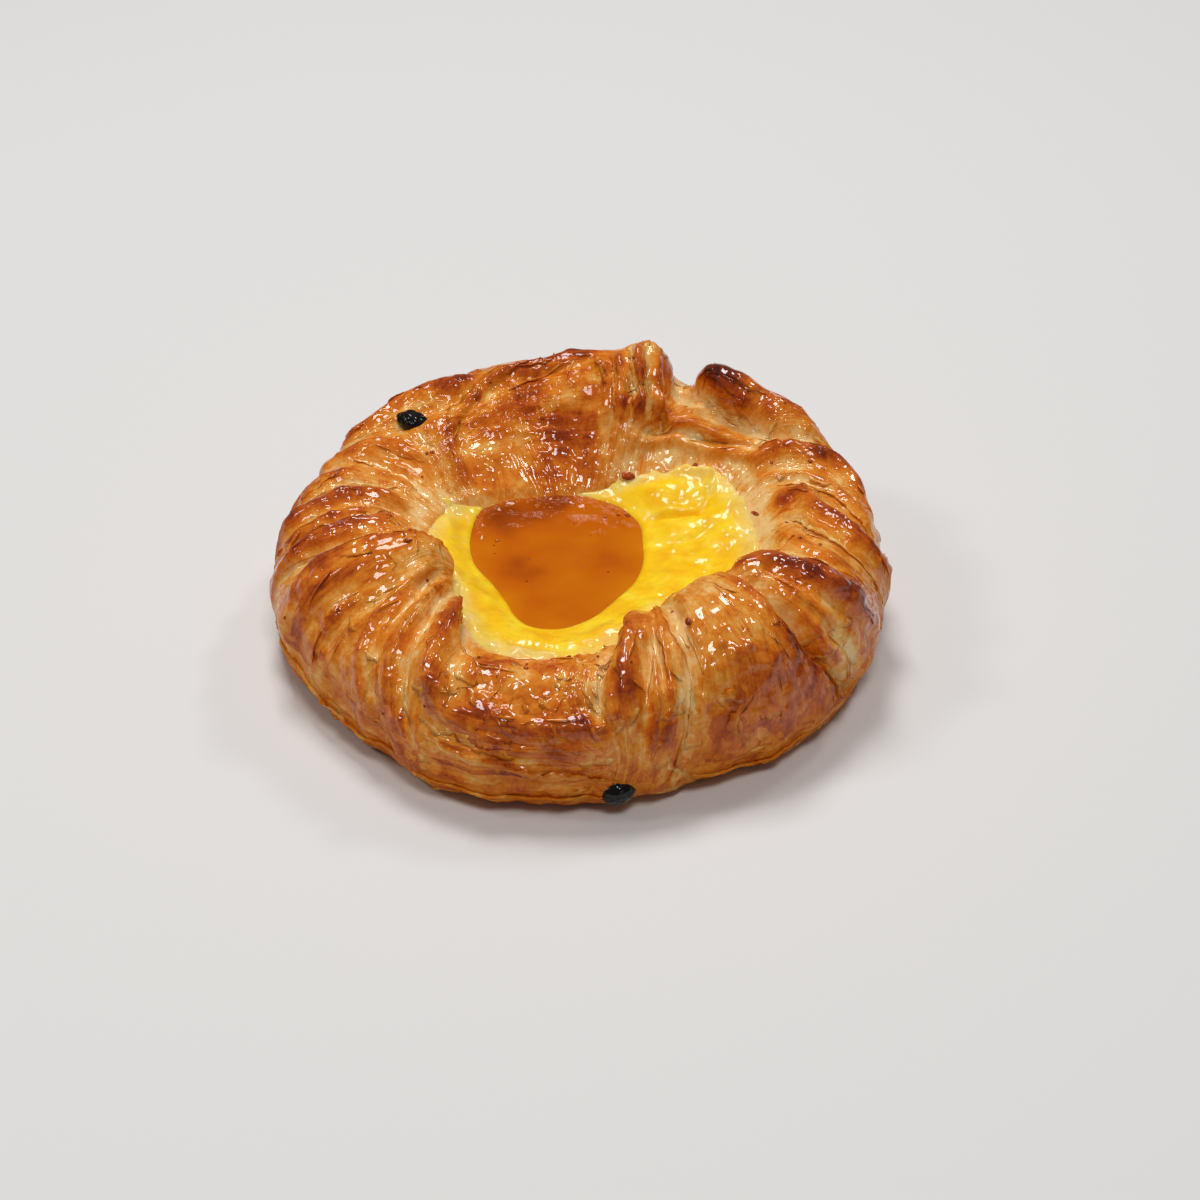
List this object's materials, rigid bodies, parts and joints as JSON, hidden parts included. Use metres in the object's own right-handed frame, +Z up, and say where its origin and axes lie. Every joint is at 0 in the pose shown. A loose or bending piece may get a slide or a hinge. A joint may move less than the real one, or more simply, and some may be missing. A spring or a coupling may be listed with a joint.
{
  "type": "danish pastry",
  "caption": "Round hand-folded danish pastry: glazed laminated dough round a custard centre topped with a pool of apricot jam, with raisins in the dough.",
  "frame": {"origin": "middle of the flat base, under the middle of the pastry's outline", "axes": "+Z up out of the flat base, +Y towards the tallest part of the rim, +X to the right when looking along +Y"},
  "size_m": [0.1278, 0.1188, 0.0432],
  "materials": {
    "dough": "baked laminated dough, tan to red-brown, under a thin wet sugar glaze",
    "custard": "baked custard, smooth, yellow and moist",
    "jam": "apricot jam, deep amber, clear and wet",
    "raisin": "baked raisin, wrinkled and nearly black, with a sticky shine"
  },
  "bodies": {
    "root": {"dough": "dough", "custard": "custard", "jam": "jam", "raisin_back": "raisin", "raisin_front": "raisin"}
  },
  "joints": []
}
